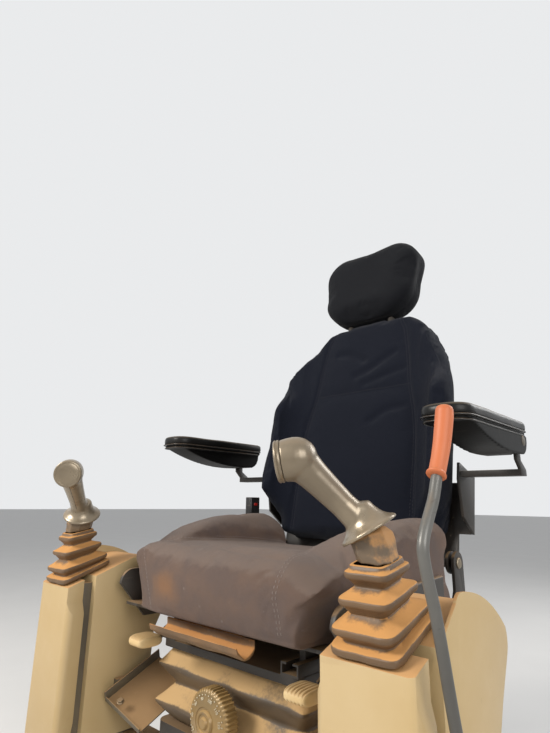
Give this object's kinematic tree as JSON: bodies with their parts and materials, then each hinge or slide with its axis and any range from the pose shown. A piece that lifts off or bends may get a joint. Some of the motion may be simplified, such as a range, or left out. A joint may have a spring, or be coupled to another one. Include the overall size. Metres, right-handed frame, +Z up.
{
  "type": "operator's seat station of a crawler excavator",
  "caption": "Suspended operator's seat with reclining back, headrest and armrests between two control consoles with booted sticks, on floor rails.",
  "frame": {"origin": "centre of the four floor bolt holes, on the floor face of the rails", "axes": "+Z up, -Y the way the seat faces, +X to the operator's left"},
  "size_m": [0.8705, 0.7683, 1.2617],
  "materials": {
    "rail_steel": "worn dark paint with dust",
    "pedestal_paint": "satin paint under dry soil",
    "black_steel": "satin black paint, dusty",
    "gaiter_rubber": "matt folded rubber with dust on the folds",
    "knob_plastic": "satin moulded plastic",
    "seat_fabric": "dusty woven cloth, stained",
    "headrest_fabric": "dark woven cloth",
    "dark_plastic": "satin dark moulding",
    "cream_plastic": "satin cream moulding",
    "post_steel": "plated steel",
    "armrest_plastic": "soft moulded armrest skin",
    "belt_plastic": "black belt hardware",
    "console_plastic": "satin beige moulding with dust",
    "bracket_paint": "dark painted steel under dust",
    "boot_rubber": "satin moulded rubber, dusty on top",
    "stick_steel": "machined steel",
    "grip_plastic": "satin taupe moulded grip",
    "lever_paint": "grey paint worn to bare spots",
    "orange_grip": "soft salmon orange sleeve"
  },
  "bodies": {
    "base": {"floor_rails": "rail_steel"},
    "station": {"pedestal": "pedestal_paint", "suspension_housing": "black_steel", "knob_bracket": "black_steel", "gaiter": "gaiter_rubber", "suspension_head": "black_steel", "weight_knob": "knob_plastic", "console_arm_left": "bracket_paint", "console_arm_right": "bracket_paint", "console_front_left": "console_plastic", "console_front_right": "console_plastic", "console_rear_left": "console_plastic", "console_rear_right": "console_plastic", "side_tray_left": "bracket_paint", "side_tray_right": "bracket_paint", "boot_lower_left": "boot_rubber", "boot_lower_right": "boot_rubber", "stick_yoke_left": "stick_steel", "stick_yoke_right": "stick_steel"},
    "seat": {"seat_pan": "black_steel", "seat_cushion": "seat_fabric", "front_bar": "dark_plastic", "buckle_stalk": "black_steel", "belt_buckle": "belt_plastic", "belt_anchor": "black_steel", "belt_retractor": "belt_plastic", "belt_tongue": "belt_plastic", "slide_lever_left": "black_steel", "slide_lever_right": "black_steel", "lever_paddle_left": "cream_plastic", "lever_paddle_right": "cream_plastic", "seat_valance_left": "dark_plastic", "seat_valance_right": "dark_plastic"},
    "backrest": {"back_frame": "black_steel", "back_cushion": "seat_fabric", "back_shell": "dark_plastic", "post_guides": "dark_plastic", "armrest_bracket_left": "black_steel", "armrest_bracket_right": "black_steel"},
    "headrest": {"headrest_pad": "headrest_fabric", "headrest_posts": "post_steel"},
    "armrest_left": {"armrest_pad_left": "armrest_plastic", "armrest_shell_left": "armrest_plastic"},
    "armrest_right": {"armrest_pad_right": "armrest_plastic", "armrest_shell_right": "armrest_plastic"},
    "lock_lever": {"lock_lever": "lever_paint", "lock_lever_grip": "orange_grip"},
    "gimbal_left": {"stick_gimbal_left": "stick_steel"},
    "stick_left": {"stick_shaft_left": "stick_steel", "stick_collar_left": "grip_plastic", "grip_left": "grip_plastic", "grip_cap_left": "grip_plastic", "boot_upper_left": "boot_rubber"},
    "gimbal_right": {"stick_gimbal_right": "stick_steel"},
    "stick_right": {"stick_shaft_right": "stick_steel", "stick_collar_right": "grip_plastic", "grip_right": "grip_plastic", "grip_cap_right": "grip_plastic", "boot_upper_right": "boot_rubber"}
  },
  "joints": [
    {"name": "station_slide", "type": "slide", "parent": "base", "child": "station", "axis": [0, 1, 0], "range_m": [-0.05, 0.05]},
    {"name": "seat_slide", "type": "slide", "parent": "station", "child": "seat", "axis": [0, 1, 0], "range_m": [-0.07, 0.08]},
    {"name": "backrest_recline", "type": "hinge", "parent": "seat", "child": "backrest", "pos_m": [0, 0.17, 0.47], "axis": [-1, 0, 0], "range_deg": [-10, 45]},
    {"name": "headrest_slide", "type": "slide", "parent": "backrest", "child": "headrest", "axis": [0, 0.2334, 0.9724], "range_m": [0, 0.05]},
    {"name": "lock_lever_hinge", "type": "hinge", "parent": "station", "child": "lock_lever", "pos_m": [0.441, -0.299, 0.307], "axis": [-1, 0, 0], "range_deg": [0, 30]},
    {"name": "armrest_left_hinge", "type": "hinge", "parent": "backrest", "child": "armrest_left", "pos_m": [0.373, 0.164, 0.694], "axis": [-1, 0, 0], "range_deg": [0, 95]},
    {"name": "armrest_right_hinge", "type": "hinge", "parent": "backrest", "child": "armrest_right", "pos_m": [-0.373, 0.164, 0.694], "axis": [-1, 0, 0], "range_deg": [0, 95]},
    {"name": "stick_left_tilt", "type": "hinge", "parent": "station", "child": "gimbal_left", "pos_m": [0.353, -0.296, 0.461], "axis": [1, 0, 0], "range_deg": [-17, 17], "stiffness_Nm_per_rad": 20, "deforming": ["boot_lower_left"]},
    {"name": "stick_left_swing", "type": "hinge", "parent": "gimbal_left", "child": "stick_left", "pos_m": [0.353, -0.296, 0.461], "axis": [0, 1, 0], "range_deg": [-17, 17], "stiffness_Nm_per_rad": 20, "deforming": ["boot_upper_left"]},
    {"name": "stick_right_tilt", "type": "hinge", "parent": "station", "child": "gimbal_right", "pos_m": [-0.353, -0.296, 0.461], "axis": [1, 0, 0], "range_deg": [-17, 17], "stiffness_Nm_per_rad": 20, "deforming": ["boot_lower_right"]},
    {"name": "stick_right_swing", "type": "hinge", "parent": "gimbal_right", "child": "stick_right", "pos_m": [-0.353, -0.296, 0.461], "axis": [0, 1, 0], "range_deg": [-17, 17], "stiffness_Nm_per_rad": 20, "deforming": ["boot_upper_right"]}
  ]
}
